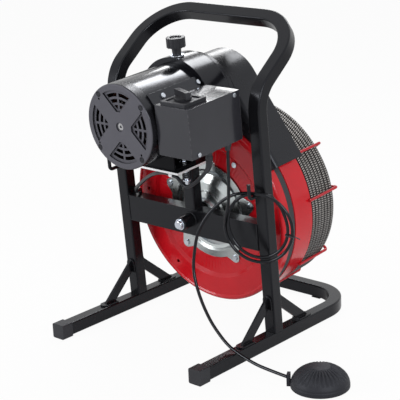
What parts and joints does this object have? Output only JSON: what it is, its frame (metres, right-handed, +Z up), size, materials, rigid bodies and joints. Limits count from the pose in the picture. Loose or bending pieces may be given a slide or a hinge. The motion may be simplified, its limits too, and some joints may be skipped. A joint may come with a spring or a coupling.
{
  "type": "drum drain cleaning machine",
  "caption": "Drain cleaning machine: a leaning bent-tube stand with a belt-driven cable drum, its motor, a switch box, and an air foot pedal on a hose.",
  "frame": {"origin": "on the floor, below the middle of the stand's box in plan", "axes": "+Z up; +Y from the stand's front feet and motor towards the drum and its rear cross tube; +X to the side that carries the switch box"},
  "size_m": [0.6045, 0.6205, 0.605],
  "materials": {
    "black_frame": "satin",
    "gloss_black": "gloss",
    "box_grey": "satin",
    "bell_grey": "matte",
    "guard_paint": "satin",
    "drum_red": "gloss",
    "zinc": "satin",
    "steel": "satin",
    "wound_cable": "matte",
    "copper_steel": "matte",
    "black_plastic": "satin",
    "knob_plastic": "gloss",
    "rubber": "matte",
    "hose_gloss": "gloss",
    "pedal_rubber": "matte",
    "brass": "satin"
  },
  "bodies": {
    "frame": {"base_tube": "black_frame", "skid_caps": "black_plastic", "rear_pads": "rubber", "handle_tube": "black_frame", "braces": "black_frame", "cross_member": "black_frame", "axle_sleeve": "black_frame", "axle": "steel", "axle_bolt": "zinc", "centre_post": "black_frame", "hooks": "black_frame", "motor_plate": "black_frame", "plate_bolts": "zinc", "tension_rod": "zinc", "tension_spring": "rubber", "motor_cradle": "gloss_black", "motor_shell": "gloss_black", "end_bell": "bell_grey", "bell_screws": "steel", "drive_shield": "gloss_black", "stator": "copper_steel", "motor_hood": "gloss_black", "knob_washer": "steel", "belt_guard": "guard_paint", "guard_screws": "zinc", "drive_belt": "rubber", "box_base": "box_grey", "box_cover": "box_grey", "box_screws": "zinc", "box_flange": "gloss_black", "flange_screws": "zinc", "switch_bezel": "black_plastic", "air_switch": "black_plastic", "lead_gland": "black_plastic", "hose_fitting": "brass", "lead_clip": "zinc", "air_hose": "hose_gloss", "hose_coil": "hose_gloss", "hose_barb": "black_plastic", "pedal_base": "pedal_rubber", "mains_lead": "rubber", "lead_coil": "rubber", "plug": "black_plastic"},
    "drum": {"drum_shell": "drum_red", "drum_hub": "zinc", "hub_bolts": "zinc", "drum_bearings": "brass", "cage_bars": "drum_red", "cage_ring": "drum_red", "snake_cable": "wound_cable", "guide_tube": "zinc", "cable_end": "wound_cable"},
    "rotor": {"rotor": "steel", "motor_pulley": "steel"},
    "switch": {"switch_knob": "knob_plastic"},
    "hood_knob": {"hood_knob": "knob_plastic"},
    "pedal": {"pedal_crown": "pedal_rubber", "pedal_skirt": "pedal_rubber"}
  },
  "joints": [
    {"name": "drum_spin", "type": "hinge", "parent": "frame", "child": "drum", "pos_m": [0, -0.04145, 0.2194], "axis": [0, 0.9976, 0.0698], "continuous": true},
    {"name": "motor_spin", "type": "hinge", "parent": "frame", "child": "rotor", "pos_m": [0, -0.05736, 0.44684], "axis": [0, 0.9976, 0.0698], "continuous": true},
    {"name": "switch_turn", "type": "hinge", "parent": "frame", "child": "switch", "pos_m": [0.116, -0.17299, 0.49489], "axis": [0, -0.0698, 0.9976], "range_deg": [-60, 60]},
    {"name": "hood_knob_turn", "type": "hinge", "parent": "frame", "child": "hood_knob", "pos_m": [0, -0.05849, 0.54902], "axis": [0, -0.0698, 0.9976], "continuous": true},
    {"name": "pedal_press", "type": "slide", "parent": "frame", "child": "pedal", "axis": [0, 0, -1], "range_m": [0, 0.008], "stiffness_N_per_m": 900, "springref_m": -0.001, "deforming": ["pedal_skirt"]}
  ],
  "couplings": [
    {"joint": "motor_spin", "follows": "drum_spin", "ratio": 6.3393}
  ]
}
